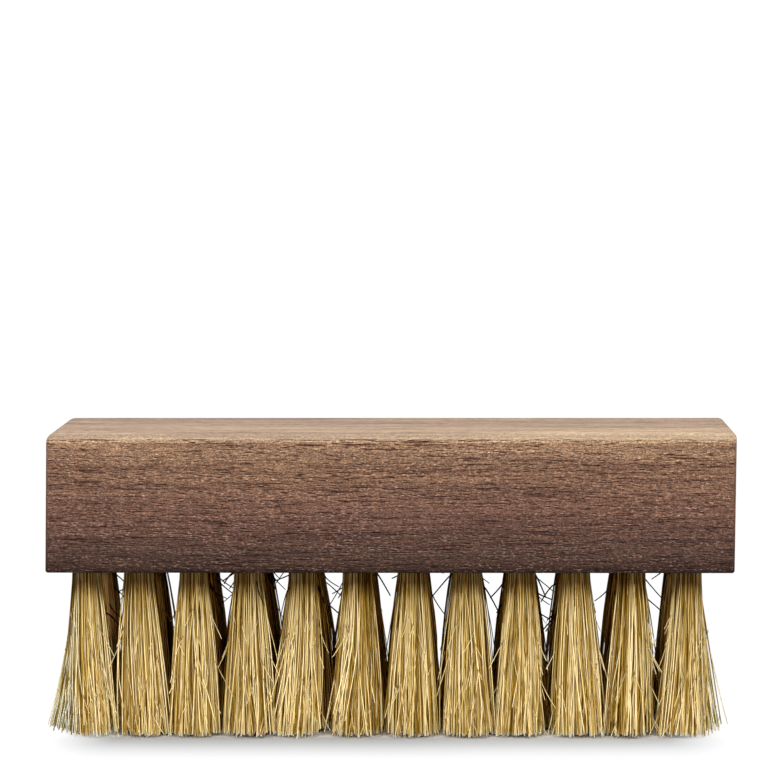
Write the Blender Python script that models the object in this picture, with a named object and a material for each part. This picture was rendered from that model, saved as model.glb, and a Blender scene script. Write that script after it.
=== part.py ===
"""Shoe brush: a one-piece walnut block with tufts of natural bristle set in blind holes.

Metres, +Z up. The brush stands on its trimmed bristle tips at z = 0, as it is put down
in use. The origin is on that plane under the middle of the brush, +X runs along its
length and +Y across it.

Each tuft is a bundle of bristle folded over a wire staple. The fold fills its hole as a
plug, the staple's two legs go on up into the wood, and the strands fan out below.
"""

import itertools
import math

import bmesh
import bpy
from mathutils import Vector

# The block
BLOCK_LENGTH = 0.130
BLOCK_DEPTH = 0.040
BLOCK_HEIGHT = 0.0265
EDGE_RADIUS = 0.0015
EDGE_SEGMENTS = 3

# The holes in its underside. The pattern lies a little nearer to the end at -X.
COLUMNS = 12
ROWS = 4
END_MARGIN = 0.0082
SIDE_MARGIN = 0.0046
PATTERN_SHIFT = -0.0011
HOLE_DIAMETER = 0.0056
HOLE_DEPTH = 0.012
HOLE_SIDES = 12

# The gap between a tuft or its staple and the wood
CLEARANCE = 0.0003

# The staple legs, of square wire, and how far they stand in from the plug's side
LEG_WIDTH = 0.0007
LEG_LENGTH = 0.0035
LEG_INSET = 0.0012

# The bristles, from the block's underside to their trimmed tips. A tuft's strands stand in two
# rings, with these gaps between them, and the tufts of both end columns lean outwards.
BRISTLE_LENGTH = 0.0314
PLUG_SIDES = 8
STRAND_SIDES = 3
INNER_STRANDS = 2
OUTER_STRANDS = 8
PLUG_RIM = 0.00005
ROOT_GAP = 0.0003
TIP_GAP = 0.0011
TUFT_GAP = 0.0011
END_LEAN = 0.0010

# How far a strand or a leg runs into the plug that it is fused to
FUSE_DEPTH = 0.0010

# How far a cutter runs past the face that it opens
CUTTER_OVERRUN = 0.0020

COLUMN_PITCH = (BLOCK_LENGTH - 2 * END_MARGIN) / (COLUMNS - 1)
ROW_PITCH = (BLOCK_DEPTH - 2 * SIDE_MARGIN) / (ROWS - 1)
PLUG_RADIUS = HOLE_DIAMETER / 2 - CLEARANCE
PLUG_LENGTH = HOLE_DEPTH - CLEARANCE
LEG_OFFSET = PLUG_RADIUS - LEG_INSET


def clear_scene():
    for item in list(bpy.data.objects):
        bpy.data.objects.remove(item, do_unlink=True)


def make_material(name, color, roughness):
    material = bpy.data.materials.new(name)
    material.use_nodes = True
    shader = material.node_tree.nodes["Principled BSDF"]
    shader.inputs["Base Color"].default_value = (*color, 1.0)
    shader.inputs["Roughness"].default_value = roughness
    shader.inputs["Metallic"].default_value = 0.0
    return material


def make_object(name, mesh, parent, location=(0.0, 0.0, 0.0)):
    item = bpy.data.objects.new(name, mesh)
    bpy.context.collection.objects.link(item)
    item.parent = parent
    item.location = location
    return item


def make_helper(name, mesh, parent, location=(0.0, 0.0, 0.0)):
    item = make_object(name, mesh, parent, location)
    item.hide_render = True
    item.display_type = "WIRE"
    return item


def add_boolean(item, operation, other):
    modifier = item.modifiers.new(f"{operation.lower()} {other.name}", "BOOLEAN")
    modifier.operation = operation
    modifier.solver = "EXACT"
    modifier.object = other


def ring(center, radius, sides, turn=0.0):
    """Points of a regular polygon in a level plane, counter-clockwise from above."""
    points = []
    for index in range(sides):
        angle = turn + 2 * math.pi * index / sides
        points.append(center + Vector((math.cos(angle), math.sin(angle), 0.0)) * radius)
    return points


def add_prism(bm, lower, upper):
    """One closed body between two level rings of as many points."""
    low = [bm.verts.new(point) for point in lower]
    high = [bm.verts.new(point) for point in upper]
    bm.faces.new(list(reversed(low)))
    bm.faces.new(high)
    for index in range(len(low)):
        after = (index + 1) % len(low)
        bm.faces.new((low[index], low[after], high[after], high[index]))


def mesh_from(name, bm, material=None):
    mesh = bpy.data.meshes.new(name)
    bm.to_mesh(mesh)
    bm.free()
    if material:
        mesh.materials.append(material)
    return mesh


def hole_places():
    """The middle of each hole on the underside, as (row, column, x, y), front row first."""
    for row in range(ROWS):
        y = (row - (ROWS - 1) / 2) * ROW_PITCH
        for column in range(COLUMNS):
            x = (column - (COLUMNS - 1) / 2) * COLUMN_PITCH + PATTERN_SHIFT
            yield row, column, x, y


def leg_offsets():
    return (Vector((-LEG_OFFSET, 0.0, 0.0)), Vector((LEG_OFFSET, 0.0, 0.0)))


def square_ring(center, width):
    return ring(center, width / math.sqrt(2), 4, math.pi / 4)


def hole_cutter_mesh():
    """The blind holes, whose flats touch the true circle of the hole."""
    bm = bmesh.new()
    corner_radius = HOLE_DIAMETER / 2 / math.cos(math.pi / HOLE_SIDES)
    for _, _, x, y in hole_places():
        mouth = Vector((x, y, BRISTLE_LENGTH - CUTTER_OVERRUN))
        end = Vector((x, y, BRISTLE_LENGTH + HOLE_DEPTH))
        add_prism(bm, ring(mouth, corner_radius, HOLE_SIDES), ring(end, corner_radius, HOLE_SIDES))
    return mesh_from("hole_cutters", bm)


def staple_cutter_mesh():
    """The pockets that the staple legs press into, above the end of each hole."""
    bm = bmesh.new()
    width = LEG_WIDTH + 2 * CLEARANCE
    for _, _, x, y in hole_places():
        hole_end = Vector((x, y, BRISTLE_LENGTH + HOLE_DEPTH))
        for offset in leg_offsets():
            start = hole_end + offset - Vector((0.0, 0.0, CUTTER_OVERRUN))
            end = hole_end + offset + Vector((0.0, 0.0, LEG_LENGTH))
            add_prism(bm, square_ring(start, width), square_ring(end, width))
    return mesh_from("staple_cutters", bm)


def make_block(material, parent):
    bm = bmesh.new()
    bmesh.ops.create_cube(bm, size=1.0)
    bmesh.ops.scale(bm, vec=(BLOCK_LENGTH, BLOCK_DEPTH, BLOCK_HEIGHT), verts=bm.verts)
    middle = (0.0, 0.0, BRISTLE_LENGTH + BLOCK_HEIGHT / 2)
    block = make_object("walnut_block", mesh_from("walnut_block", bm, material), parent, middle)

    bevel = block.modifiers.new("rounded edges", "BEVEL")
    bevel.width = min(EDGE_RADIUS, BLOCK_HEIGHT / 2)
    bevel.segments = EDGE_SEGMENTS
    bevel.limit_method = "ANGLE"

    add_boolean(block, "DIFFERENCE", make_helper("hole_cutters", hole_cutter_mesh(), parent))
    add_boolean(block, "DIFFERENCE", make_helper("staple_cutters", staple_cutter_mesh(), parent))
    return block


def strand_rings(room, gap):
    """Strand radius and places of two rings in a circle of radius room, the inner at a third."""
    radius = (room * 2 / 3 - gap) / (2 + 2 / 3)
    outer_ring = room - radius
    center = Vector((0.0, 0.0, 0.0))
    inner = ring(center, outer_ring / 3, INNER_STRANDS)
    return radius, inner + ring(center, outer_ring, OUTER_STRANDS, math.pi / OUTER_STRANDS)


def root_layout():
    """The strands where the tuft leaves its hole, packed into the plug."""
    return strand_rings(PLUG_RADIUS * math.cos(math.pi / PLUG_SIDES) - PLUG_RIM, ROOT_GAP)


def tip_layout():
    """The strands at the tips, spread over the tuft's share of the brush."""
    return strand_rings((min(COLUMN_PITCH, ROW_PITCH) - TUFT_GAP) / 2, TIP_GAP)


def strand_lines(lean):
    """Each strand's turn, and the middle and radius of its two ends from the hole's mouth."""
    root_radius, roots = root_layout()
    tip_radius, tips = tip_layout()
    drop = Vector((0.0, 0.0, -BRISTLE_LENGTH))
    for root, tip in zip(roots, tips):
        turn = math.atan2(root.y, root.x)
        yield turn, root, root_radius, tip + lean + drop, tip_radius


def fan_mesh(name, lean):
    """The strands of one tuft and the legs of its staple, with the hole's mouth at z = 0."""
    bm = bmesh.new()
    for turn, root, root_radius, tip, tip_radius in strand_lines(lean):
        sunk = root + (root - tip) * (FUSE_DEPTH / BRISTLE_LENGTH)
        lower = ring(tip, tip_radius, STRAND_SIDES, turn)
        upper = ring(sunk, root_radius, STRAND_SIDES, turn)
        add_prism(bm, lower, upper)
    for offset in leg_offsets():
        start = offset + Vector((0.0, 0.0, PLUG_LENGTH - FUSE_DEPTH))
        end = offset + Vector((0.0, 0.0, PLUG_LENGTH + LEG_LENGTH))
        add_prism(bm, square_ring(start, LEG_WIDTH), square_ring(end, LEG_WIDTH))
    return mesh_from(name, bm)


def plug_mesh(material):
    bm = bmesh.new()
    turn = math.pi / PLUG_SIDES
    lower = ring(Vector((0.0, 0.0, 0.0)), PLUG_RADIUS, PLUG_SIDES, turn)
    upper = ring(Vector((0.0, 0.0, PLUG_LENGTH)), PLUG_RADIUS, PLUG_SIDES, turn)
    add_prism(bm, lower, upper)
    return mesh_from("tuft_plug", bm, material)


def tuft_lean(column):
    """How far a tuft's tips lean: outwards in the first and the last column, else not."""
    outward = (column == COLUMNS - 1) - (column == 0)
    return Vector((outward * END_LEAN, 0.0, 0.0))


def make_tufts(material, parent):
    plug = plug_mesh(material)
    fans = {}
    for row, column, x, y in hole_places():
        lean = tuft_lean(column)
        if tuple(lean) not in fans:
            fans[tuple(lean)] = fan_mesh(f"tuft_fan_{len(fans) + 1}", lean)
        label = f"r{row + 1}_c{column + 1:02d}"
        mouth = (x, y, BRISTLE_LENGTH)
        tuft = make_object(f"bristle_tuft_{label}", plug, parent, mouth)
        fan = make_helper(f"fan_{label}", fans[tuple(lean)], parent, mouth)
        add_boolean(tuft, "UNION", fan)


def least_strand_gap(steps=8):
    """The least gap between any two strands of the first rows and columns, at even heights."""
    rows = []
    for row, column, x, y in hole_places():
        if row > 1 or column > 2:
            continue
        place = Vector((x, y, 0.0))
        for _, root, root_radius, tip, tip_radius in strand_lines(tuft_lean(column)):
            rows.append((root + place, root_radius, tip + place, tip_radius))
    least = math.inf
    for step in range(steps + 1):
        share = step / steps
        discs = []
        for root, root_radius, tip, tip_radius in rows:
            discs.append((root.lerp(tip, share), root_radius * (1 - share) + tip_radius * share))
        for (place, radius), (other, other_radius) in itertools.combinations(discs, 2):
            least = min(least, (place - other).length - radius - other_radius)
    return least


def main():
    clear_scene()
    walnut = make_material("walnut", (0.21, 0.115, 0.075), 0.5)
    bristle = make_material("hog_bristle", (0.55, 0.38, 0.20), 0.6)
    brush = make_object("brush", None, None)
    make_block(walnut, brush)
    make_tufts(bristle, brush)
    print(f"strands: {ROWS * COLUMNS * (INNER_STRANDS + OUTER_STRANDS)}")
    print(f"least gap between strands: {least_strand_gap() * 1000:.2f} mm")


main()
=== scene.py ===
"""Looks for the shoe brush: a walnut block with tufts of hog bristle set in its underside.

Metres, +Z up, the brush standing on its bristle tips at z = 0 with its front face at -Y.
"""

import math

import bpy
import numpy as np
from mathutils import Matrix, Vector


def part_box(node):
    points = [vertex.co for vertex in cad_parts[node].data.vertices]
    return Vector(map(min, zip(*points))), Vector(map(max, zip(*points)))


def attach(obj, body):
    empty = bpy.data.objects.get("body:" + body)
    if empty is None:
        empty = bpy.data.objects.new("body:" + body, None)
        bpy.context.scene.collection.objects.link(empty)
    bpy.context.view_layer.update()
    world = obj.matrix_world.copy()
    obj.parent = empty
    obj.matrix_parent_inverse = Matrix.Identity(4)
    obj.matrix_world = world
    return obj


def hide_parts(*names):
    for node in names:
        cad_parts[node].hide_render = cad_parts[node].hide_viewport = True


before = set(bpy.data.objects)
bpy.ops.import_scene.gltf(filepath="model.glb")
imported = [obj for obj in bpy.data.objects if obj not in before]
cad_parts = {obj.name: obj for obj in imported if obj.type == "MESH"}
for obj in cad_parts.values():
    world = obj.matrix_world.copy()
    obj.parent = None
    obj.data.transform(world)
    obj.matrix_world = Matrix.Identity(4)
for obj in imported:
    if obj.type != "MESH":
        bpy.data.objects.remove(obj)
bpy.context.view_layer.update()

# The camera, from the photograph's edges
CAMERA_PLACE = (0.01442, -0.78585, 0.11515)
CAMERA_TILT = math.radians(3.678)
CAMERA_YAW = math.radians(1.079)
CAMERA_ROLL = math.radians(-0.077)
CAMERA_LENS = 189.05
SENSOR = 36.0

# Each light's name, place, size and power
SOFTBOXES = (
    ("front_softbox", (0.0, -0.40, 0.58), (0.90, 0.20), 7.0),
    ("low_softbox", (0.0, -0.85, 0.13), (0.70, 0.26), 0.7),
    ("back_softbox", (0.0, 0.16, 0.62), (0.90, 0.24), 5.5))
LIGHTS_AIM = (0.0, 0.0, 0.03)
# White as the camera sees it, and the strength of the same white as light
SEEN_WHITE = 1.02
WORLD_LIGHT = 0.20

# The block: its top stands a little to the right of its underside, and its edges are
# rounded by hand, the left end's top edge most of all
BLOCK_BOTTOM = 0.0314
BLOCK_TOP = 0.0579
TOP_SLIP = 0.00033
BOTTOM_EDGE = 0.0005
FRONT_EDGE = 0.0006
BACK_EDGE = 0.0010
FRONT_TOP_EDGE = 0.0013
RIGHT_TOP_EDGE = 0.0012
LEFT_TOP_EDGE = 0.0019
EDGE_SEGMENTS = 6
SMOOTH_ANGLE = math.radians(28)
HOLE_RADIUS = 0.0028
HOLE_DEPTH = 0.012
HOLE_SIDES = 24
MOUTH_CHAMFER = 0.00025
CUTTER_OVERRUN = 0.001

# The wood's colours by height, from its underside at 0 to its top face at 1. They darken
# towards the underside partly as the wood's own tone and partly as painted shade, and the
# light band at the top of the front is partly a paler band of the wood and partly a painted
# highlight
WOOD_TONES_AND_SHADE = (
    (0.00, (0.010, 0.004, 0.003)),
    (0.05, (0.040, 0.019, 0.013)),
    (0.14, (0.062, 0.033, 0.024)),
    (0.24, (0.065, 0.033, 0.024)),
    (0.34, (0.089, 0.045, 0.032)),
    (0.48, (0.119, 0.061, 0.041)),
    (0.60, (0.123, 0.065, 0.043)),
    (0.76, (0.131, 0.070, 0.044)),
    (0.88, (0.200, 0.118, 0.073)),
    (0.922, (0.205, 0.119, 0.067)),
    (0.932, (0.344, 0.225, 0.142)),
    (0.945, (0.279, 0.183, 0.113)),
    (0.953, (0.365, 0.261, 0.169)),
    (0.960, (0.398, 0.285, 0.193)),
    (0.968, (0.294, 0.210, 0.135)),
    (0.984, (0.244, 0.177, 0.122)),
    (0.9925, (0.192, 0.141, 0.105)),
    (1.00, (0.220, 0.162, 0.120)))
# How far the grain drifts up and down, the heights between which the colours stop following
# it, and the move that brings the growth rings' middle to the origin
GRAIN_DRIFT = 0.0022
STEADY_HEIGHTS = (0.0545, 0.0560)
MOVE_TO_PITH = (0.0, -0.011, 0.052)
# Where the end faces and the top edges of the ends begin and are full, in X off the middle,
# and how far behind the front face those edges are darker, in Y
END_FACE = (0.0641, 0.0647)
END_EDGE = (0.0622, 0.0636)
BEHIND_FRONT = (-0.0190, -0.0180)
# How far below a vessel the painted highlight on its lower lip is drawn
LIP_HIGHLIGHT_OFFSET = (0.0003, 0.0, 0.00018)
PORE_DEPTH = 0.00012

# The tufts, and the strands of one tuft
COLUMNS = 12
ROWS = 4
BRISTLES = 330
LOCKS = 90
ROOT_RADIUS = 0.00250
SUNK = 0.003
BRISTLE_RINGS = 8
BRISTLE_TAPER = 0.965
THICK = 0.000155
THIN = 0.000082
# Strays on each row's tufts: the share of the way down at which they leave the tuft's side,
# their slope sideways and out of the brush, and how far short of the others they may end
STRAYS = (26, 5, 5, 26)
STRAY_LEAVING = (0.30, 0.80)
STRAY_SLOPE = 0.13
STRAY_SLOPE_LIMIT = 0.16
STRAY_OUT = 0.05
STRAY_EASE = 0.003
STRAY_LIFT = 0.006
# Fine slanted hairs on each row's tufts
SLANTED = (16, 3, 3, 16)
SLANTED_RADII = (0.000050, 0.000085)
SLANTED_START = (0.15, 0.90)
SLANTED_LENGTH = (0.002, 0.007)
SLANTED_SLOPE = (0.10, 0.50)
# The loose wisps at both ends of the front row, from their outermost strand to their inmost
WISP = 18
WISP_REACH = (0.0027, 0.0005)
WISP_LIFT = (0.0012, 0.0003)
# Dark hairs near the roots in each gap between two columns, in the four rows together, and
# how far below the block the first of them stand out, in millimetres
GAP_HAIRS = (7, 1, 13, 11, 9, 2, 3, 4, 9, 3, 3)
HAIR_TOPS = (3.0, 0.0, 0.0, 0.0, 2.0, 2.0, 1.0, 2.0, 3.0, 2.0, 2.0)
HAIR_RADII = (0.000100, 0.000160)
HAIR_START = (0.0001, 0.0055)
HAIR_REACH = (0.0015, 0.0050)
HAIR_LENGTH = (0.0010, 0.0060)

# How far each front tuft's tips lean to the right, in millimetres, and how wide they spread
# for their root
FRONT_LEANS = (0.9, 1.1, 0.0, 0.25, -1.5, -0.5, -0.1, 0.2, -0.6, 0.7, -0.7, -0.9)
FRONT_SPREADS = (1.95, 1.98, 2.20, 2.2, 1.83, 2.0, 2.05, 2.2, 2.03, 2.15, 2.02, 2.0)
# The same spread of the rear tufts, which is less in the first column and more in some others
REAR_SPREAD = (2.20, 2.45)
FIRST_COLUMN_LESS = 0.35
WIDER_COLUMNS = (2, 4, 5)
WIDER_BY = 0.15
# How far the end tufts of the second to the last row lean outwards at their tips, and how far
# the second row leans forwards
LEFT_OUTWARD = (0.0031, 0.0012, 0.0006)
RIGHT_OUTWARD = (0.0018, 0.0003, 0.0001)
SECOND_ROW_FORWARD = 0.0018
LEAN_SCATTER = 0.0003
# The powers by which a tuft's lean grows towards its tips, and by which it opens: more means
# later for the lean, and earlier for the opening
FRONT_BOW = 1.7
REAR_BOW = 2.3
FRONT_OPENING = 1.5
LEFT_OPENING = 1.9
RIGHT_OPENING = 1.6
LAST_LEFT_COLUMN = 5
# The lean of the solids' end tufts, and how far to the right the tufts of both end columns
# sit in their holes
END_LEAN = 0.0010
END_SEAT = 0.0003

# How the strands of a tuft part from even packing. ROOT_SCATTER, TRIM_SCATTER, LOCK_LIFT,
# SHORT_LIFT and SWAY are in metres, and the others are shares.
ROOT_SCATTER = 0.00012
CROSSING = 0.34
CROSSING_LOOSENESS = (0.30, 0.75)
SETTLED_LOOSENESS = (0.00, 0.34)
LOCK_PULL = 0.40
TRIM_SCATTER = 0.00045
LOCK_LIFT = 0.0005
SHORT_SHARE = 0.03
SHORT_LIFT = (0.0006, 0.0040)
BEND = 0.28
TIP_FLARE = 0.07
SWAY = 0.00022
GOLDEN_ANGLE = math.pi * (3 - math.sqrt(5))
FIRST_SEED = 7100

# The strands' colours: pale ones at 0, dark ones near 0.9 and the dark hairs above them
STRAND_COLORS = (
    (0.00, (0.830, 0.712, 0.428)),
    (0.20, (0.820, 0.690, 0.380)),
    (0.45, (0.815, 0.662, 0.312)),
    (0.60, (0.665, 0.502, 0.186)),
    (0.74, (0.405, 0.262, 0.052)),
    (0.88, (0.200, 0.106, 0.008)),
    (0.93, (0.030, 0.014, 0.006)),
    (1.00, (0.020, 0.010, 0.006)))
HAIR_SHADE = 0.95
# What the strands' colours are multiplied by, from the root at 0 to the tip at 1. Near the
# root they are darkened by a painted shadow of the wood, and towards the tips they are lighter,
# partly the bristles' paler ends and partly painted light
LENGTH_SHADE_AND_TONE = (
    (0.00, (0.43, 0.35, 0.34)),
    (0.05, (0.39, 0.30, 0.26)),
    (0.08, (0.335, 0.26, 0.21)),
    (0.15, (0.275, 0.215, 0.148)),
    (0.20, (0.43, 0.36, 0.26)),
    (0.26, (0.79, 0.74, 0.63)),
    (0.34, (0.99, 0.97, 0.94)),
    (0.55, (1.20, 1.20, 1.19)),
    (0.85, (1.35, 1.37, 1.36)),
    (0.92, (1.60, 1.64, 1.64)),
    (0.96, (1.74, 1.81, 1.88)))
# The strips of the map that the strands' shades fall in, and how much of one a strand fills
STRIPS = 64
STRIP_FILL = 0.8
# Where the two inner rows, the outermost strands and the first gap begin and are full: the
# first in Y and the second in X off the middle, and the third in X
INNER_ROWS = (0.0135, 0.0095)
OUTERMOST = (0.0565, 0.0620)
FIRST_GAP = (-0.0460, -0.0520)
# The shades of single strands: about a third are pale, a third dark, and the others between
PALE_UNTIL = 0.36
DARK_FROM = 0.64
PALE_SHADES = (0.01, 0.12)
DARK_SHADES = (0.68, 0.88)
MIDDLE_SHADE = 0.40
MIDDLE_SCATTER = 0.15
SLANTED_SHADES = (0.02, 0.30)

# The paper: the patch round the brush that keeps its shadow, in X and Y off the middle, where
# the darker strip under the tips ends, and the paper's tones from left to right
# The patch is darker to the camera than to light, partly a painted shadow; under the brush and
# towards the right its paper is lighter, painted light on that shadow
SHADOW_SIDE = (0.052, 0.064)
SHADOW_FRONT = (0.020, 0.046)
UNDER_TIPS = (0.0150, 0.0188)
PAPER_ACROSS = (-0.002, 0.026)
PAPER_SHADOW_TONES = (0.365, 0.430)


# Shared tools

def deselect():
    if bpy.context.object and bpy.context.object.mode != "OBJECT":
        bpy.ops.object.mode_set(mode="OBJECT")
    bpy.ops.object.select_all(action="DESELECT")


def pick(item):
    """Makes an object the only selected one, and the active one."""
    deselect()
    item.select_set(True)
    bpy.context.view_layer.objects.active = item


def select_faces(item, test):
    """In edit mode, selects the faces whose normal passes the test, and no others."""
    bpy.ops.mesh.select_all(action="DESELECT")
    bpy.ops.object.mode_set(mode="OBJECT")
    for face in item.data.polygons:
        face.select = bool(test(face.normal))
    bpy.ops.object.mode_set(mode="EDIT")


def settle(item):
    """Moves an object's place and scale into its mesh."""
    pick(item)
    bpy.ops.object.transform_apply(location=True, rotation=True, scale=True)


def apply_modifier(item, modifier):
    pick(item)
    bpy.ops.object.modifier_apply(modifier=modifier.name)


def set_input(tree, socket, value):
    """Links another node's output to a socket, or gives the socket a constant value."""
    if isinstance(value, bpy.types.NodeSocket):
        tree.links.new(value, socket)
    else:
        socket.default_value = value


def add_node(tree, kind, inputs=None, **settings):
    """A node with its settings, and with its inputs by name."""
    node = tree.nodes.new(kind)
    for name, value in settings.items():
        setattr(node, name, value)
    for name, value in (inputs or {}).items():
        set_input(tree, node.inputs[name], value)
    return node


def math_node(tree, operation, *values, clamp=False):
    node = add_node(tree, "ShaderNodeMath", operation=operation, use_clamp=clamp)
    for index, value in enumerate(values):
        set_input(tree, node.inputs[index], value)
    return node.outputs[0]


def product(tree, first, *others):
    """The product of two or more values, taken from the first on."""
    for other in others:
        first = math_node(tree, "MULTIPLY", first, other)
    return first


def vector_math(tree, operation, first, second):
    node = add_node(tree, "ShaderNodeVectorMath", operation=operation)
    set_input(tree, node.inputs[0], first)
    set_input(tree, node.inputs[1], second)
    return node.outputs[0]


def object_place(tree):
    """A point's place in the object's own coordinates."""
    return add_node(tree, "ShaderNodeTexCoord").outputs["Object"]


def parts_of(tree, vector):
    """The outputs X, Y and Z of a vector."""
    return add_node(tree, "ShaderNodeSeparateXYZ", {"Vector": vector}).outputs


def mapped(tree, vector, scale=(1.0, 1.0, 1.0), location=(0.0, 0.0, 0.0)):
    return add_node(tree, "ShaderNodeMapping", {
        "Vector": vector, "Scale": scale, "Location": location}).outputs["Vector"]


def stretched(tree, vector, along, across):
    """A vector for a pattern stretched along X: cycles per metre along and across the grain."""
    return mapped(tree, vector, scale=(along, across, across))


def noise(tree, vector, detail, roughness=0.5):
    return add_node(tree, "ShaderNodeTexNoise", {
        "Vector": vector, "Scale": 1.0, "Detail": detail, "Roughness": roughness})


def map_range(tree, value, low, high, to_low=0.0, to_high=1.0, smooth=True):
    node = add_node(tree, "ShaderNodeMapRange", {
        "Value": value, "From Min": low, "From Max": high, "To Min": to_low, "To Max": to_high},
        interpolation_type="SMOOTHSTEP" if smooth else "LINEAR")
    return node.outputs["Result"]


def mix_color(tree, factor, first, second, blend="MIX"):
    """Two colours mixed, each of them another node's output or a plain triple."""
    node = add_node(tree, "ShaderNodeMix", data_type="RGBA", blend_type=blend)
    set_input(tree, node.inputs[0], factor)
    for socket, color in ((node.inputs[6], first), (node.inputs[7], second)):
        set_input(tree, socket, (*color, 1.0) if isinstance(color, tuple) else color)
    return node.outputs[2]


def tinted(tree, color, tint):
    """A colour multiplied by another."""
    return mix_color(tree, 1.0, color, tint, "MULTIPLY")


def tint_where(tree, mask, color, tint):
    """A colour that is multiplied by another where a mask is 1."""
    return mix_color(tree, mask, color, tinted(tree, color, tint))


def varied(tree, color, pattern, darker, lighter, low=0.32, high=0.68):
    """A colour that goes from darker to lighter as a pattern goes from low to high."""
    return mix_color(tree, map_range(tree, pattern, low, high), tinted(tree, color, darker),
                     tinted(tree, color, lighter))


def color_ramp(tree, value, stops):
    node = add_node(tree, "ShaderNodeValToRGB", {"Fac": value})
    ramp = node.color_ramp
    while len(ramp.elements) < len(stops):
        ramp.elements.new(0.5)
    for element, (place, color) in zip(ramp.elements, stops):
        element.position = place
        element.color = (*color, 1.0)
    return node.outputs["Color"]


def new_material(name):
    material = bpy.data.materials.new(name)
    material.use_nodes = True
    tree = material.node_tree
    tree.nodes.clear()
    shader = add_node(tree, "ShaderNodeBsdfPrincipled")
    output = add_node(tree, "ShaderNodeOutputMaterial")
    tree.links.new(shader.outputs["BSDF"], output.inputs["Surface"])
    return material, tree, shader


def new_group(name, inputs, outputs):
    """A shader node group: inputs are (name, kind, default) and outputs (name, kind)."""
    tree = bpy.data.node_groups.new(name, "ShaderNodeTree")
    for label, kind, default in inputs:
        socket = tree.interface.new_socket(label, in_out="INPUT", socket_type=kind)
        if default is not None:
            socket.default_value = default
    for label, kind in outputs:
        tree.interface.new_socket(label, in_out="OUTPUT", socket_type=kind)
    return tree, add_node(tree, "NodeGroupInput").outputs, add_node(tree, "NodeGroupOutput").inputs


# Walnut

def vessel_group():
    """The wood's vessels: thin closed tubes along X that a face cuts open as fine dashes."""
    tree, entry, out = new_group(
        "wood_vessels",
        [("Vector", "NodeSocketVector", None), ("Along", "NodeSocketFloat", 100.0),
         ("Across", "NodeSocketFloat", 2400.0), ("Thickness", "NodeSocketFloat", 0.22),
         ("Softness", "NodeSocketFloat", 0.04), ("Shift", "NodeSocketFloat", 0.0)],
        [("Mask", "NodeSocketFloat")])
    scale = add_node(tree, "ShaderNodeCombineXYZ", {
        "X": entry["Along"], "Y": entry["Across"], "Z": entry["Across"]}).outputs[0]
    spread = vector_math(tree, "MULTIPLY", entry["Vector"], scale)
    moved = vector_math(tree, "ADD", spread, entry["Shift"])
    cells = add_node(tree, "ShaderNodeTexVoronoi", {
        "Vector": moved, "Scale": 1.0, "Randomness": 1.0}, voronoi_dimensions="3D", feature="F1")
    inner = math_node(tree, "SUBTRACT", entry["Thickness"], entry["Softness"])
    mask = map_range(tree, cells.outputs["Distance"], inner, entry["Thickness"], 1.0, 0.0,
                     smooth=False)
    tree.links.new(mask, out["Mask"])
    return tree


def vessels(tree, group, vector, along, across, thickness, shift=0.0):
    node = add_node(tree, "ShaderNodeGroup", {
        "Along": along, "Across": across, "Thickness": thickness, "Shift": shift,
        "Vector": vector}, node_tree=group)
    return node.outputs["Mask"]


def grain_noise(tree, grain, along, across, detail, roughness=0.5):
    return noise(tree, stretched(tree, grain, along, across), detail, roughness).outputs["Fac"]


def flowing_grain(tree, place):
    """The grain runs along X: its place and how far it has drifted up or down there."""
    drift = noise(tree, stretched(tree, place, 16.0, 34.0), 1.0, 0.3).outputs["Color"]
    centered = vector_math(tree, "SUBTRACT", drift, (0.5, 0.5, 0.5))
    drifted = vector_math(tree, "MULTIPLY", centered, (0.0, GRAIN_DRIFT, GRAIN_DRIFT))
    return vector_math(tree, "ADD", place, drifted), parts_of(tree, drifted)["Z"]


def end_grain(tree, color, place, grit):
    """Growth rings cut across, with fine rays between them."""
    pith = mapped(tree, place, location=MOVE_TO_PITH)
    rings = add_node(tree, "ShaderNodeTexWave", {
        "Vector": pith, "Scale": 105.0, "Distortion": 3.2, "Detail": 3.0, "Detail Scale": 0.6},
        wave_type="RINGS", rings_direction="X", wave_profile="SAW").outputs["Fac"]
    rays = noise(tree, mapped(tree, place, scale=(60.0, 2600.0, 210.0)), 2.0).outputs["Fac"]
    color = varied(tree, color, rings, (0.84, 0.82, 0.82), (1.05, 1.04, 1.03), 0.0, 1.0)
    color = varied(tree, color, rays, (0.86, 0.85, 0.86), (1.12, 1.12, 1.10))
    return varied(tree, color, grit, (0.88, 0.87, 0.88), (1.10, 1.10, 1.10), 0.36, 0.64)


def dark_edges(tree, axes, end, share):
    """Where the rounded top edges of both ends are darker, behind the front face."""
    place = product(tree, map_range(tree, end, *END_EDGE),
                    map_range(tree, axes["Y"], *BEHIND_FRONT))
    height = product(tree, map_range(tree, share, 0.912, 0.930),
                     map_range(tree, share, 0.970, 0.985, 1.0, 0.0))
    return product(tree, place, height)


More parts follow.
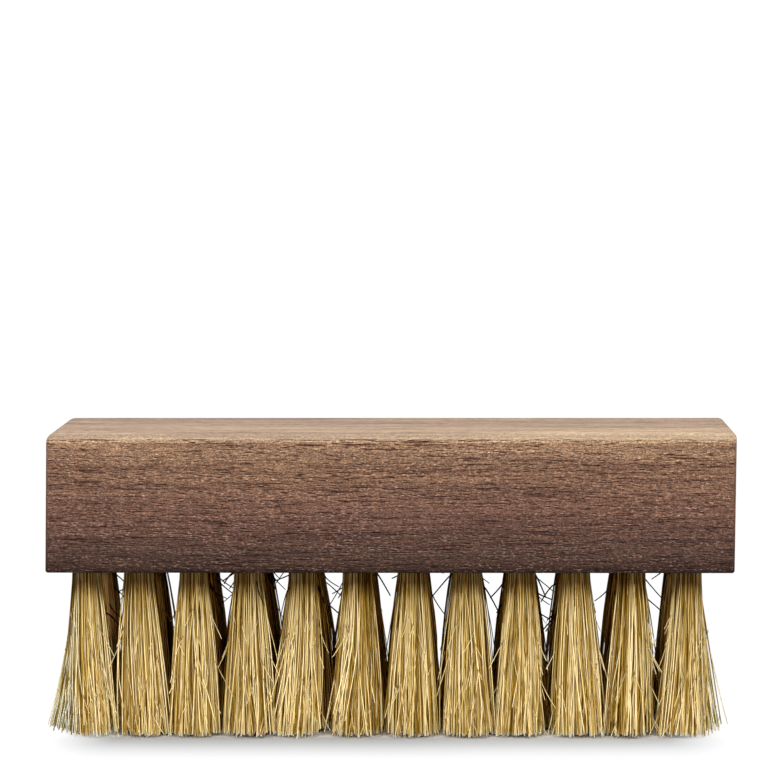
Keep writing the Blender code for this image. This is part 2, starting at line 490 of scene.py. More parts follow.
def pore_masks(tree, grain, share, flat_top, at_end):
    """The open vessels, dark, and light specks and the lower lip of each vessel, painted
    highlights.

    There are fewer in some places than in others, and hardly any on the smooth top.
    """
    group = vessel_group()
    thinner = map_range(tree, grain_noise(tree, grain, 22.0, 240.0, 2.0), 0.35, 0.65, 0.88, 1.09)
    smooth_top = math_node(tree, "ADD", map_range(tree, share, 0.945, 0.962, 1.0, 0.10),
                           product(tree, flat_top, 0.60))
    short = vessels(tree, group, grain, 360.0, 3600.0, product(tree, thinner, 0.27))
    longer = product(tree, thinner, map_range(tree, share, 0.84, 0.92, 0.235, 0.275))
    long = vessels(tree, group, grain, 70.0, 3200.0, longer, 31.0)
    pores = product(tree, math_node(tree, "MAXIMUM", short, long), smooth_top)

    lower = vector_math(tree, "ADD", grain, LIP_HIGHLIGHT_OFFSET)
    lip_highlights = vessels(tree, group, lower, 360.0, 3600.0, product(tree, thinner, 0.26))
    fleck_highlights = vessels(tree, group, grain, 900.0, 3400.0, 0.27, 77.0)
    gathered = map_range(tree, grain_noise(tree, grain, 60.0, 1000.0, 2.0), 0.42, 0.60, 0.45, 1.0)
    highlight_flecks = math_node(tree, "MAXIMUM", fleck_highlights, product(tree, lip_highlights, 0.5))
    highlight_flecks = product(tree, highlight_flecks, product(tree, smooth_top, gathered))
    highlight_flecks = product(tree, highlight_flecks, map_range(tree, at_end, 0.0, 1.0, 1.0, 0.25),
                     map_range(tree, share, 0.86, 0.93, 1.0, 0.45))
    return pores, highlight_flecks


def walnut_material():
    material, tree, shader = new_material("oiled_walnut")
    place = object_place(tree)
    axes = parts_of(tree, place)
    grain, drift = flowing_grain(tree, place)
    end = math_node(tree, "ABSOLUTE", axes["X"])
    at_end = map_range(tree, end, *END_FACE)

    # The colours follow the grain's drift a little, but for those of the top edge
    loose = map_range(tree, axes["Z"], *STEADY_HEIGHTS, 0.3, 0.0)
    height = math_node(tree, "ADD", axes["Z"], product(tree, drift, loose))
    share = map_range(tree, height, BLOCK_BOTTOM, BLOCK_TOP, smooth=False)
    on_top = map_range(tree, share, 0.980, 0.995)
    flat_top = map_range(tree, share, 0.9975, 0.9995)
    base = color_ramp(tree, share, WOOD_TONES_AND_SHADE)

    # The front half of the top is lighter, and streaks run along the whole top
    front_half = product(tree, on_top, map_range(tree, axes["Y"], 0.008, -0.008))
    base = tint_where(tree, front_half, base, (1.21, 1.18, 1.12))
    streak = grain_noise(tree, grain, 30.0, 230.0, 2.0)
    streaked = varied(tree, base, streak, (0.88, 0.87, 0.88), (1.10, 1.10, 1.08), 0.35, 0.65)
    base = mix_color(tree, on_top, base, streaked)

    # Figure, from the widest bands to the finest grit
    wide = grain_noise(tree, grain, 7.0, 170.0, 2.0)
    bands = grain_noise(tree, grain, 16.0, 620.0, 3.0, 0.55)
    lines = grain_noise(tree, grain, 26.0, 2300.0, 2.0)
    fibres = grain_noise(tree, grain, 900.0, 5200.0, 3.0, 0.75)
    grit = grain_noise(tree, grain, 3400.0, 4800.0, 1.0)
    base = varied(tree, base, wide, (0.93, 0.92, 0.94), (1.07, 1.08, 1.05))
    plain = varied(tree, base, bands, (0.94, 0.93, 0.95), (1.06, 1.06, 1.04))
    base = varied(tree, plain, lines, (0.81, 0.79, 0.81), (1.19, 1.20, 1.17), 0.36, 0.64)
    base = varied(tree, base, grit, (0.66, 0.64, 0.65), (1.34, 1.35, 1.34), 0.38, 0.62)
    base = varied(tree, base, fibres, (0.55, 0.54, 0.55), (1.45, 1.46, 1.44), 0.35, 0.65)
    base = mix_color(tree, map_range(tree, share, 0.935, 0.955, 1.0, 0.45), plain, base)

    # The sanded top is plainer, and browner from above; seen nearly edge-on, a painted sheen
    # lightens it
    top = varied(tree, plain, lines, (0.82, 0.81, 0.83), (1.18, 1.18, 1.16), 0.36, 0.64)
    top = varied(tree, top, fibres, (0.74, 0.73, 0.74), (1.26, 1.26, 1.25), 0.35, 0.65)
    facing = add_node(tree, "ShaderNodeLayerWeight", {"Blend": 0.5}).outputs["Facing"]
    painted_sheen = map_range(tree, facing, 0.66, 0.90)
    top_with_sheen = mix_color(tree, painted_sheen, tinted(tree, top, (0.74, 0.67, 0.62)), top)
    base = mix_color(tree, on_top, base, mix_color(tree, flat_top, top, top_with_sheen))

    base = mix_color(tree, at_end, base, end_grain(tree, plain, place, grit))
    base = tint_where(tree, dark_edges(tree, axes, end, share), base, (0.74, 0.69, 0.64))

    # The dark open vessels, and painted highlights on light specks and on the lower lip of each
    # vessel
    pores, highlight_flecks = pore_masks(tree, grain, share, flat_top, at_end)
    light = mix_color(tree, 0.35, tinted(tree, base, (2.6, 2.7, 2.8)), (0.355, 0.252, 0.195))
    base = mix_color(tree, product(tree, highlight_flecks, 0.85), base, light)
    base = tint_where(tree, pores, base, (0.22, 0.10, 0.06))
    tree.links.new(base, shader.inputs["Base Color"])

    rough = map_range(tree, fibres, 0.25, 0.75, 0.55, 0.70)
    tree.links.new(rough, shader.inputs["Roughness"])
    shader.inputs["Specular IOR Level"].default_value = 0.10

    level = math_node(tree, "SUBTRACT", product(tree, fibres, 0.35), pores)
    bump = add_node(tree, "ShaderNodeBump", {
        "Height": level, "Strength": 0.8, "Distance": PORE_DEPTH})
    tree.links.new(bump.outputs["Normal"], shader.inputs["Normal"])
    return material


# Bristle

def bristle_material():
    """Colour from the piece's own map: from pale to dark strands across it, root to tip up it."""
    material, tree, shader = new_material("hog_bristle")
    place = add_node(tree, "ShaderNodeUVMap", uv_map="OFBake").outputs["UV"]
    parts = parts_of(tree, place)
    shade, length = parts["X"], parts["Y"]
    spot = parts_of(tree, object_place(tree))
    end = math_node(tree, "ABSOLUTE", spot["X"])
    strand = color_ramp(tree, shade, STRAND_COLORS)
    mottle = noise(tree, mapped(tree, place, scale=(90.0, 9.0, 1.0)), 2.0).outputs["Fac"]
    strand = varied(tree, strand, mottle, (0.85, 0.81, 0.72), (1.10, 1.10, 1.11), 0.35, 0.65)

    # The painted shadow of the wood at the roots reaches a little less far down on the two
    # inner rows
    inner = map_range(tree, math_node(tree, "ABSOLUTE", spot["Y"]), *INNER_ROWS, 0.0, 0.8)
    lengthened = math_node(tree, "ADD", length, product(tree, inner, 0.09))
    strand = tinted(tree, strand, color_ramp(tree, lengthened, LENGTH_SHADE_AND_TONE))

    # Each strand is darker at its sides, painted shade where the strands hide one another
    across = math_node(tree, "FRACT", product(tree, shade, float(STRIPS)))
    strand = mix_color(tree, map_range(tree, across, 0.12, 0.70),
                       tinted(tree, strand, (0.44, 0.290, 0.03)), strand)

    # The strands well inside the brush are darker and more brown, but for their tips: painted
    # shade
    inside = map_range(tree, inner, 0.0, 0.8)
    deep_shade = product(tree, inside, map_range(tree, length, 0.93, 0.985, 1.0, 0.0),
                   map_range(tree, end, 0.0490, 0.0580, 1.0, 0.0))
    deep_shade_tint = mix_color(tree, map_range(tree, length, 0.50, 0.66), (0.54, 0.37, 0.20),
                        (0.42, 0.26, 0.12))
    strand = tint_where(tree, deep_shade, strand, deep_shade_tint)

    # The wood's shadow on the tufts behind the front ones isn't quite black: painted light
    # lightens their upper part, most of all in the first gap
    shadow_lift = product(tree, inside, map_range(tree, length, 0.38, 0.62, 1.0, 0.0),
                     map_range(tree, end, 0.0555, 0.0585, 1.0, 0.0))
    first_gap = map_range(tree, spot["X"], *FIRST_GAP)
    shadow_lift_tint = mix_color(tree, first_gap, (1.9, 1.75, 1.45), (2.7, 2.45, 2.0))
    strand = tint_where(tree, shadow_lift, strand, shadow_lift_tint)

    # The outermost strands at both ends of the brush are less golden, and the cut tips are pale
    far_out = map_range(tree, end, *OUTERMOST)
    outer_tint = mix_color(tree, map_range(tree, length, 0.76, 0.90), (0.90, 1.04, 1.45),
                         (0.74, 0.88, 1.36))
    strand = tint_where(tree, far_out, strand, outer_tint)
    tip = product(tree, map_range(tree, length, 0.982, 0.990),
                  map_range(tree, spot["Z"], 0.0014, 0.0009))
    dotted = map_range(tree, shade, 0.42, 0.52, 1.0, 0.15)
    strand = mix_color(tree, product(tree, tip, dotted), strand, (1.0, 0.95, 0.78))

    tree.links.new(strand, shader.inputs["Base Color"])
    rough = map_range(tree, mottle, 0.3, 0.7, 0.45, 0.60)
    tree.links.new(rough, shader.inputs["Roughness"])
    shader.inputs["Specular IOR Level"].default_value = 0.0
    return material


# The block

def finish_piece(item, material, slot, *nodes):
    item.data.materials.clear()
    item.data.materials.append(material)
    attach(item, "root")
    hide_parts(*nodes)


def hole_middle(row, column):
    """The middle of a hole's mouth, from the box of its tuft and the tuft's outward lean."""
    low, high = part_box(f"bristle_tuft_r{row}_c{column:02d}")
    lean = END_LEAN * ((column == COLUMNS) - (column == 1))
    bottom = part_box("walnut_block")[0].z
    return np.array(((low.x + high.x) / 2 - lean, (low.y + high.y) / 2, bottom))


def hole_cutters(low):
    """All the blind holes as one cutter, each with a small chamfer at its mouth."""
    first = hole_middle(1, 1)
    deselect()
    bpy.ops.mesh.primitive_cylinder_add(
        vertices=HOLE_SIDES, radius=HOLE_RADIUS, depth=HOLE_DEPTH - MOUTH_CHAMFER,
        location=(first[0], first[1], low + (HOLE_DEPTH + MOUTH_CHAMFER) / 2))
    cutter = bpy.context.object
    settle(cutter)
    bpy.ops.object.mode_set(mode="EDIT")
    bpy.ops.mesh.select_mode(type="FACE")
    select_faces(cutter, lambda normal: normal.z < -0.9)
    wider = (HOLE_RADIUS + 2 * MOUTH_CHAMFER) / HOLE_RADIUS
    bpy.ops.mesh.extrude_region_move(
        TRANSFORM_OT_translate={"value": (0.0, 0.0, -2 * MOUTH_CHAMFER)})
    bpy.ops.transform.resize(value=(wider, wider, 1.0), center_override=(first[0], first[1], low))
    bpy.ops.mesh.extrude_region_move(TRANSFORM_OT_translate={"value": (0.0, 0.0, -CUTTER_OVERRUN)})
    bpy.ops.object.mode_set(mode="OBJECT")
    along = (hole_middle(1, 2)[0] - first[0], 0.0, 0.0)
    across = (0.0, hole_middle(2, 1)[1] - first[1], 0.0)
    for count, step in ((COLUMNS, along), (ROWS, across)):
        copies = cutter.modifiers.new("copies", "ARRAY")
        copies.use_relative_offset = False
        copies.use_constant_offset = True
        copies.constant_offset_displace = step
        copies.count = count
        apply_modifier(cutter, copies)
    return cutter


def edge_radius(place, size):
    """How far one of the block's edges is rounded, from the place of its middle."""
    top = place.z > size.z * 0.4
    if place.z < -size.z * 0.4:
        return BOTTOM_EDGE
    if top and abs(place.x) > size.x * 0.4:
        return RIGHT_TOP_EDGE if place.x > 0.0 else LEFT_TOP_EDGE
    if top and place.y < -size.y * 0.4:
        return FRONT_TOP_EDGE
    return BACK_EDGE if place.y > size.y * 0.4 else FRONT_EDGE


def make_block(material):
    low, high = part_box("walnut_block")
    size = high - low
    middle = (low + high) / 2
    deselect()
    bpy.ops.mesh.primitive_cube_add(
        size=1.0, location=middle, scale=(size.x - TOP_SLIP, size.y, size.z))
    block = bpy.context.object
    block.name = block.data.name = "walnut_body"
    settle(block)
    bpy.ops.object.mode_set(mode="EDIT")
    bpy.ops.mesh.select_mode(type="FACE")
    select_faces(block, lambda normal: normal.z > 0.9)
    bpy.ops.transform.translate(value=(TOP_SLIP / 2, 0.0, 0.0))
    select_faces(block, lambda normal: normal.z < -0.9)
    bpy.ops.transform.translate(value=(-TOP_SLIP / 2, 0.0, 0.0))
    bpy.ops.object.mode_set(mode="OBJECT")

    weights = block.data.attributes.new("bevel_weight_edge", "FLOAT", "EDGE")
    for edge in block.data.edges:
        start, end = (block.data.vertices[index].co for index in edge.vertices)
        radius = edge_radius((start + end) / 2 - middle, size)
        weights.data[edge.index].value = radius / LEFT_TOP_EDGE
    bevel = block.modifiers.new("eased edges", "BEVEL")
    bevel.limit_method = "WEIGHT"
    bevel.width = LEFT_TOP_EDGE
    bevel.segments = EDGE_SEGMENTS
    apply_modifier(block, bevel)

    cutter = hole_cutters(low.z)
    holes = block.modifiers.new("holes", "BOOLEAN")
    holes.operation = "DIFFERENCE"
    holes.solver = "EXACT"
    holes.object = cutter
    apply_modifier(block, holes)
    bpy.data.objects.remove(cutter, do_unlink=True)
    pick(block)
    bpy.ops.object.shade_smooth_by_angle(angle=SMOOTH_ANGLE)
    finish_piece(block, material, "walnut", "walnut_block")


# The tufts

def model_bristle():
    """One bristle, modelled once: a four-sided length with its root at z = 0 and its tip at 1."""
    deselect()
    bpy.ops.mesh.primitive_circle_add(vertices=4, radius=1.0, fill_type="NGON")
    item = bpy.context.object
    bpy.ops.object.mode_set(mode="EDIT")
    bpy.ops.mesh.select_all(action="SELECT")
    for index in range(BRISTLE_RINGS - 1):
        bpy.ops.mesh.extrude_region_move(
            TRANSFORM_OT_translate={"value": (0.0, 0.0, 1.0 / (BRISTLE_RINGS - 1))})
        if index:
            bpy.ops.transform.resize(value=(BRISTLE_TAPER, BRISTLE_TAPER, 1.0))
    bpy.ops.mesh.select_all(action="SELECT")
    bpy.ops.mesh.normals_make_consistent(inside=False)
    bpy.ops.object.mode_set(mode="OBJECT")
    corners = np.array([vertex.co for vertex in item.data.vertices])
    faces = np.array([tuple(face.vertices) for face in item.data.polygons])
    bpy.data.objects.remove(item, do_unlink=True)
    return corners, faces


def bristle_points(paths, radii, corners):
    """The modelled bristle's corners laid along each path."""
    ring_of = np.rint(corners[:, 2] * (BRISTLE_RINGS - 1)).astype(int)
    along = np.gradient(paths, axis=1)
    along /= np.linalg.norm(along, axis=2, keepdims=True)
    side = np.cross(np.broadcast_to((0.0, 1.0, 0.0), along.shape), along)
    side /= np.linalg.norm(side, axis=2, keepdims=True)
    front = np.cross(along, side)
    sideways = side[:, ring_of] * corners[None, :, 0:1]
    forwards = front[:, ring_of] * corners[None, :, 1:2]
    return paths[:, ring_of] + radii[:, None, None] * (sideways + forwards)


def bristle_map(shades, corners, faces):
    """The map's places: each face has the width of its strand's strip and its share of length.

    Across a side face the map runs from the strand's side to its front or back.
    """
    heights = corners[faces, 2]
    middle = heights.mean(axis=1, keepdims=True)
    capped = np.ptp(heights, axis=1, keepdims=True) < 1e-6
    turn = np.array([0.0, 1.0, 1.0, 0.0])
    lift = np.array([0.0, 0.0, 1.0, 1.0])
    sideways = np.abs(corners[faces, 1]) / np.hypot(corners[faces, 0], corners[faces, 1])
    order = np.where(capped, turn, sideways)
    up = np.where(capped, np.where(middle > 0.5, 0.985, 0.0) + 0.015 * lift, heights)
    u = shades[:, None, None] + (order[None] - 0.5) * (STRIP_FILL / STRIPS)
    v = np.broadcast_to(up[None], u.shape)
    return np.stack([u, v], axis=-1), capped[:, 0]


def bristle_mesh(name, paths, radii, shades, template):
    """Copies of the modelled bristle along paths of (count, rings, 3) points."""
    corners, faces = template
    count = len(paths)
    points = bristle_points(paths, radii, corners)
    first_corners = (np.arange(count) * len(corners))[:, None, None]
    all_faces = (faces[None] + first_corners).reshape(-1, 4)
    mesh = bpy.data.meshes.new(name)
    mesh.vertices.add(count * len(corners))
    mesh.vertices.foreach_set("co", points.reshape(-1))
    mesh.loops.add(all_faces.size)
    mesh.loops.foreach_set("vertex_index", all_faces.reshape(-1))
    mesh.polygons.add(len(all_faces))
    mesh.polygons.foreach_set("loop_start", np.arange(0, all_faces.size, 4))
    mesh.update(calc_edges=True)

    places, capped = bristle_map(shades, corners, faces)
    uv = mesh.uv_layers.new(name="OFBake")
    uv.data.foreach_set("uv", places.reshape(-1))
    mesh.polygons.foreach_set("use_smooth", np.tile(~capped, count))
    mesh.update()
    return mesh


def strip_middle(shade):
    """The middle of the strip of the map that a shade falls in."""
    return (np.floor(np.clip(shade, 0.0, HAIR_SHADE) * STRIPS) + 0.5) / STRIPS


def strand_shades(random, count):
    """Where each strand stands in the range of colours, from pale at 0 to dark at 1."""
    kind = random.random(count)
    shade = random.normal(MIDDLE_SHADE, MIDDLE_SCATTER, count)
    shade = np.where(kind < PALE_UNTIL, random.uniform(*PALE_SHADES, count), shade)
    shade = np.where(kind > DARK_FROM, random.uniform(*DARK_SHADES, count), shade)
    return strip_middle(np.clip(shade, 0.01, 0.89))


def opening(fall, early=LEFT_OPENING):
    """How far a tuft has opened, from 0 at its root to 1 at its tips."""
    return 1.0 - (1.0 - fall) ** early


def disc(random, count, radius):
    """Points spread evenly over a disc."""
    reach = radius * np.sqrt(random.random(count))
    angle = random.uniform(0.0, 2 * math.pi, count)
    return np.stack([reach * np.cos(angle), reach * np.sin(angle)], axis=1)


def spiral(count, radius):
    """Points packed over a disc as seeds are in a sunflower."""
    index = np.arange(count) + 0.5
    reach = radius * np.sqrt(index / count)
    angle = index * GOLDEN_ANGLE
    return np.stack([reach * np.cos(angle), reach * np.sin(angle)], axis=1)


def inward(sideways, outward):
    """Turns sideways moves that would leave the end of the brush back towards its middle."""
    return sideways * np.where(sideways * outward > 0.0, -1.0, 1.0)


def strand_tips(random, root, spread):
    """Each strand's place at the tips and the lock that it gathers in.

    A strand keeps its place in the tuft more or less, and some lie right across it.
    """
    width = ROOT_RADIUS * spread * 1.04
    loose = np.where(random.random(BRISTLES) < CROSSING,
                     random.uniform(*CROSSING_LOOSENESS, BRISTLES),
                     random.uniform(*SETTLED_LOOSENESS, BRISTLES))[:, None]
    tip = root * spread * (1 - loose) + disc(random, BRISTLES, width) * loose
    lock_tip = disc(random, LOCKS, width * 0.97)
    nearest = np.argmin(((tip[:, None] - lock_tip[None]) ** 2).sum(axis=2), axis=1)
    tip += (lock_tip[nearest] - tip) * random.uniform(0.0, LOCK_PULL, BRISTLES)[:, None]
    return tip, nearest


def strand_lifts(random, nearest):
    """How far above the tips' plane each strand ends. A few are cut short."""
    lift = np.abs(random.normal(0.0, TRIM_SCATTER, BRISTLES))
    lift += random.uniform(0.0, LOCK_LIFT, LOCKS)[nearest]
    short = random.random(BRISTLES) < SHORT_SHARE
    return np.where(short, random.uniform(*SHORT_LIFT, BRISTLES), lift)


def lead_strays_out(random, row, root, depth, outward, fall, level, lift):
    """Strays leave the tuft's side part of the way down, and many end short of the others."""
    face = {1: -root[:, 1], ROWS: root[:, 1]}.get(row, np.abs(root[:, 1]))
    strays = STRAYS[row - 1]
    stray = np.argsort(random.normal(0.0, 0.0007, BRISTLES) - face)[:strays]
    leave = random.uniform(*STRAY_LEAVING, strays)[:, None]
    run = np.clip(fall[None] - leave, 0.0, None) * depth
    eased = run ** 2 / (run + STRAY_EASE)
    slope = random.normal(0.0, STRAY_SLOPE, strays)
    if row == 1:
        slope = np.clip(slope, -STRAY_SLOPE_LIMIT, STRAY_SLOPE_LIMIT)
    else:
        slope = inward(slope, outward)
    level[stray, :, 0] += slope[:, None] * eased
    level[stray, :, 1] += np.sign(root[stray, 1] + 1e-9)[:, None] * STRAY_OUT * eased
    lift[stray] += random.uniform(0.0, STRAY_LIFT, strays) * (random.random(strays) < 0.6)


def splay_wisp(root, outward, fall, level, lift):
    """The outermost strands at an end of the front row splay in a loose wisp."""
    way = np.sign(outward)
    wisp = np.argsort(-way * root[:, 0])[:WISP]
    level[wisp, :, 0] += way * np.linspace(*WISP_REACH, WISP)[:, None] * fall[None] ** 3
    lift[wisp] = np.linspace(*WISP_LIFT, WISP)


def sway_of(random, fall):
    """How far each strand sways to and fro on its way down."""
    shape = (BRISTLES, 1, 2)
    fall = fall[None, :, None]
    sway = random.normal(0.0, SWAY, shape)
    sway = sway * np.where(random.random((BRISTLES, 1, 1)) < 0.3, 1.8, 0.8)
    phase = random.uniform(0.0, 6.28, shape)
    turns = random.uniform(2.0, 6.0, shape)
    return sway * (np.sin(phase + turns * fall) - np.sin(phase)) * fall ** 0.5


def tuft_paths(random, row, mouth, lean, spread, outward, early):
    """Paths of a tuft's strands: packed in the hole, then opening, crossing and gathering."""
    drop = np.linspace(-SUNK / mouth[2], 1.0, BRISTLE_RINGS)
    fall = np.clip(drop, 0.0, None)
    root = spiral(BRISTLES, ROOT_RADIUS) + random.normal(0.0, ROOT_SCATTER, (BRISTLES, 2))
    tip, nearest = strand_tips(random, root, spread)
    lift = strand_lifts(random, nearest)
    bend = random.normal(0.0, BEND, BRISTLES)[:, None]
    open_out = opening(fall, early)[None] + bend * fall[None] * (1 - fall[None])
    open_out = open_out + TIP_FLARE * fall[None] ** 8
    bow = FRONT_BOW if row == 1 else REAR_BOW
    leaning = lean * fall[None, :, None] ** bow
    level = root[:, None] + (tip - root)[:, None] * open_out[:, :, None] + leaning
    lead_strays_out(random, row, root, mouth[2], outward, fall, level, lift)
    if row == 1 and outward:
        splay_wisp(root, outward, fall, level, lift)
    level += sway_of(random, fall)
    down = -drop[None, :] * (mouth[2] - lift[:, None])
    return np.concatenate([level, down[:, :, None]], axis=2) + mouth


def slanted_paths(random, row, mouth, lean, spread, outward, count):
    """Fine hairs that lie aslant over the side of the tuft."""
    drop = np.linspace(0.0, 1.0, BRISTLE_RINGS)[None, :]
    facing = {1: -math.pi / 2, ROWS: math.pi / 2}.get(row)
    if facing is None:
        turn = random.uniform(0.0, 2 * math.pi, count)
    else:
        turn = facing + random.uniform(-1.2, 1.2, count)
    start = mouth[2] * random.uniform(*SLANTED_START, count) ** 0.8
    length = np.minimum(random.uniform(*SLANTED_LENGTH, count), mouth[2] - 0.0005 - start)
    sideways = random.choice((-1.0, 1.0), count) * random.uniform(*SLANTED_SLOPE, count)
    aslant = inward(sideways, outward)
    bend = random.uniform(0.8, 1.6, count)[:, None]
    share = start / mouth[2]
    reach = ROOT_RADIUS * (1 + (spread - 1) * opening(share)) * 0.97
    fall = length[:, None] * drop
    out = reach[:, None] + 0.12 * fall
    side = (aslant * length)[:, None] * drop ** bend
    x = mouth[0] + (lean[0] * share ** 2)[:, None] + np.cos(turn)[:, None] * out + side
    y = mouth[1] + (lean[1] * share ** 2)[:, None] + np.sin(turn)[:, None] * out
    z = mouth[2] - start[:, None] - fall
    return np.stack([x, y, z], axis=2)


def gap_paths(random, mouth, sides, tops):
    """Dark hairs that stand out near the roots, across the gap to the next column."""
    count = len(sides)
    drop = np.linspace(0.0, 1.0, BRISTLE_RINGS)[None, :, None]
    turn = random.uniform(-0.9, 0.9, count)
    ahead = np.array(sides).reshape(-1) * np.cos(turn)
    way = np.stack([ahead, np.sin(turn), np.zeros(count)], axis=1)[:, None]
    start = random.uniform(*HAIR_START, count)[:, None, None]
    start = start + np.array(tops).reshape(-1, 1, 1) / 1000
    reach = random.uniform(*HAIR_REACH, count)[:, None, None]
    length = random.uniform(*HAIR_LENGTH, count)[:, None, None]
    bend = random.uniform(0.6, 1.8, count)[:, None, None]
    down = np.array((0.0, 0.0, -1.0))[None, None]
    out = ROOT_RADIUS * 0.96 + start * 0.16 + reach * drop ** bend
    return mouth + way * out + down * (start + length * drop)


def gap_sides(row, column):
    """The sides on which a tuft has dark hairs, one entry for each, and how far down they are."""
    hairs = (0, *GAP_HAIRS, 0)
    tops = (0.0, *HAIR_TOPS, 0.0)
    left = (hairs[column - 1] + 2 * row - 2) // (2 * ROWS)
    right = (hairs[column] + 2 * row - 1) // (2 * ROWS)
    sides = [-1.0] * left + [1.0] * right
    return sides, [tops[column - 1]] * left + [tops[column]] * right


def tuft_stance(random, row, column):
    """A tuft's lean at its tips, in metres, and its spread there."""
    if row == 1:
        return np.array((FRONT_LEANS[column - 1] / 1000, 0.0)), FRONT_SPREADS[column - 1]
    right, left = RIGHT_OUTWARD[row - 2], LEFT_OUTWARD[row - 2]
    lean = np.array((right * (column == COLUMNS) - left * (column == 1),
                     -SECOND_ROW_FORWARD * (row == 2)))
    spread = random.uniform(*REAR_SPREAD) - FIRST_COLUMN_LESS * (column == 1)
    spread += WIDER_BY * (column in WIDER_COLUMNS)
    return lean + random.normal(0.0, LEAN_SCATTER, 2), spread


def make_tuft(row, column, material, template):
    mouth = hole_middle(row, column)
    mouth[0] += END_SEAT * (column in (1, COLUMNS))
    outward = (column == COLUMNS) - (column == 1)
    random = np.random.default_rng(FIRST_SEED + 100 * row + column)
    lean, spread = tuft_stance(random, row, column)
    early = LEFT_OPENING if column <= LAST_LEFT_COLUMN else RIGHT_OPENING
    if row == 1:
        early = FRONT_OPENING
    paths = [tuft_paths(random, row, mouth, lean, spread, outward, early)]
    shades = [strand_shades(random, BRISTLES)]
    radii = [random.uniform(THIN, THICK, BRISTLES)]
    slanted = SLANTED[row - 1]
    paths.append(slanted_paths(random, row, mouth, lean, spread, outward, slanted))
    shades.append(strip_middle(random.uniform(*SLANTED_SHADES, slanted)))
    radii.append(random.uniform(*SLANTED_RADII, slanted))
    sides, tops = gap_sides(row, column)
    paths.append(gap_paths(random, mouth, sides, tops))
    shades.append(strip_middle(np.full(len(sides), HAIR_SHADE)))
    radii.append(random.uniform(*HAIR_RADII, len(sides)))
    name = f"bristles_r{row}_c{column:02d}"
    mesh = bristle_mesh(name, np.concatenate(paths), np.concatenate(radii),
                        np.concatenate(shades), template)
    item = bpy.data.objects.new(name, mesh)
    bpy.context.collection.objects.link(item)
    finish_piece(item, material, "bristle", f"bristle_tuft_r{row}_c{column:02d}")


# The studio

def make_camera():
    """The photograph's camera: turned to the brush, tilted down, and rolled a hair."""
    data = bpy.data.cameras.new("camera")
    data.sensor_width = SENSOR
    data.lens = CAMERA_LENS
    data.clip_start = 0.05
    data.clip_end = 20.0
    camera = bpy.data.objects.new("camera", data)
    bpy.context.collection.objects.link(camera)
    right = Vector((math.cos(CAMERA_YAW), math.sin(CAMERA_YAW), 0.0))
    ahead = Vector((-math.sin(CAMERA_YAW) * math.cos(CAMERA_TILT),
                    math.cos(CAMERA_YAW) * math.cos(CAMERA_TILT), -math.sin(CAMERA_TILT)))
    up = right.cross(ahead)
    rolled_right = right * math.cos(CAMERA_ROLL) + up * math.sin(CAMERA_ROLL)
    rolled_up = up * math.cos(CAMERA_ROLL) - right * math.sin(CAMERA_ROLL)
    turn = Matrix((rolled_right, rolled_up, -ahead)).transposed()
    camera.matrix_world = Matrix.Translation(CAMERA_PLACE) @ turn.to_4x4()
    bpy.context.scene.camera = camera


def add_softbox(name, place, size, power):
    data = bpy.data.lights.new(name, "AREA")
    data.shape = "RECTANGLE"
    data.size, data.size_y = size
    data.energy = power
    light = bpy.data.objects.new(name, data)
    bpy.context.collection.objects.link(light)
    light.location = place
    aim = Vector(LIGHTS_AIM) - Vector(place)
    light.rotation_euler = aim.to_track_quat("-Z", "Y").to_euler()
    light.visible_camera = False


def make_world():
    """White to the camera, and a dimmer white as light."""
    world = bpy.data.worlds.new("studio")
    world.use_nodes = True
    bpy.context.scene.world = world
    tree = world.node_tree
    background = tree.nodes["Background"]
    background.inputs["Color"].default_value = (1.0, 1.0, 1.0, 1.0)
    seen = add_node(tree, "ShaderNodeLightPath").outputs["Is Camera Ray"]
    strength = map_range(tree, seen, 0.0, 1.0, WORLD_LIGHT, SEEN_WHITE, smooth=False)
    tree.links.new(strength, background.inputs["Strength"])


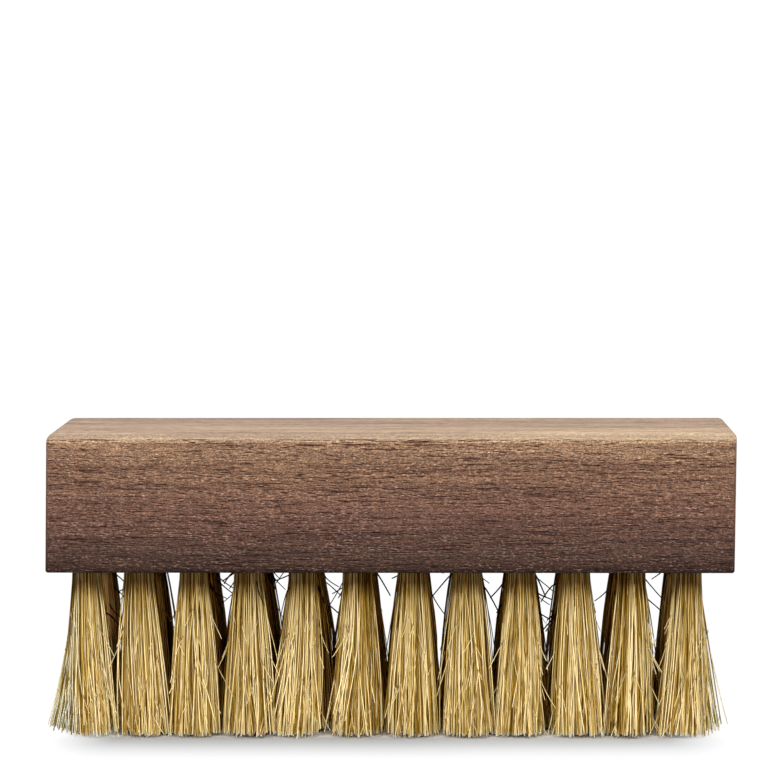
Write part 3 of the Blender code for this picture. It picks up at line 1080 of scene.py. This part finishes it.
def make_floor():
    deselect()
    bpy.ops.mesh.primitive_plane_add(size=12.0, location=(0.0, 0.0, 0.0))
    floor = bpy.context.object
    floor.name = "studio_floor"
    material, tree, shader = new_material("white_paper")
    shader.inputs["Roughness"].default_value = 0.9
    shader.inputs["Specular IOR Level"].default_value = 0.0
    shader.inputs["Emission Color"].default_value = (1.0, 1.0, 1.0, 1.0)

    # The paper shows white, but for a patch round the brush that keeps its shadow. The patch is
    # darker to the camera than to light, partly a painted shadow, and under the brush and towards
    # the right it is lighter, painted light on that shadow
    axes = parts_of(tree, object_place(tree))
    side = math_node(tree, "ABSOLUTE", axes["X"])
    front = math_node(tree, "ABSOLUTE", axes["Y"])
    beside = map_range(tree, side, *SHADOW_SIDE, smooth=False)
    beyond = map_range(tree, front, *SHADOW_FRONT, smooth=False)
    away = math_node(tree, "ADD", math_node(tree, "POWER", beside, 2.0),
                     math_node(tree, "POWER", beyond, 2.0))
    glow = math_node(tree, "SQRT", away, clamp=True)
    seen = add_node(tree, "ShaderNodeLightPath").outputs["Is Camera Ray"]
    paper = map_range(tree, axes["X"], *PAPER_ACROSS, *PAPER_SHADOW_TONES)
    paper = tinted(tree, paper, (1.0, 1.035, 1.055))
    under = map_range(tree, front, *UNDER_TIPS, 1.0, 0.0)
    near = mix_color(tree, under, paper, (0.70, 0.65, 0.57))
    near = mix_color(tree, glow, near, (0.0, 0.0, 0.0))
    base = mix_color(tree, seen, (0.75, 0.75, 0.75), near)
    tree.links.new(base, shader.inputs["Base Color"])
    strength = product(tree, seen, glow, SEEN_WHITE)
    tree.links.new(strength, shader.inputs["Emission Strength"])
    floor.data.materials.append(material)


def main():
    make_camera()
    make_world()
    make_floor()
    for softbox in SOFTBOXES:
        add_softbox(*softbox)
    make_block(walnut_material())
    bristle = bristle_material()
    template = model_bristle()
    for row in range(1, ROWS + 1):
        for column in range(1, COLUMNS + 1):
            make_tuft(row, column, bristle, template)
    bpy.context.scene.view_settings.view_transform = "Standard"
    bpy.context.scene.view_settings.look = "None"


main()
